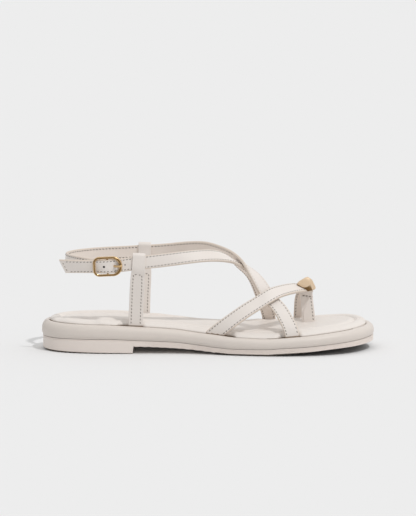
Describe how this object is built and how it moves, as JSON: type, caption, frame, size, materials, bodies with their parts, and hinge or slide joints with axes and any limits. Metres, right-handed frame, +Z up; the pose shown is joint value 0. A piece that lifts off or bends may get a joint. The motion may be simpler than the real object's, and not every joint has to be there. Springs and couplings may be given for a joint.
{
  "type": "crossover sandal",
  "caption": "Flat leather sandal for the right foot: slim straps cross over the instep to a buckled ankle strap, with a toe post, pebble ornament, padded footbed and wrapped platform.",
  "frame": {"origin": "on the floor, under the middle of the sole's length and width", "axes": "+X towards the toe, +Y towards the inner side of the foot, +Z up"},
  "size_m": [0.254, 0.09, 0.08],
  "materials": {
    "outsole_rubber": "matte off-white moulded rubber",
    "rim_leather": "smooth off-white leather",
    "footbed_leather": "soft off-white leather over foam",
    "strap_leather": "smooth off-white leather with sewn edges",
    "gold_metal": "polished gold colour",
    "satin_gold_metal": "satin gold colour"
  },
  "bodies": {
    "root": {"outsole": "outsole_rubber", "midsole": "rim_leather", "insole": "footbed_leather", "upper": "strap_leather", "keeper_lateral": "strap_leather", "keeper_medial": "strap_leather", "toe_post": "strap_leather", "buckle_frame": "gold_metal", "buckle_prong": "gold_metal", "toe_stud": "satin_gold_metal"}
  },
  "joints": []
}
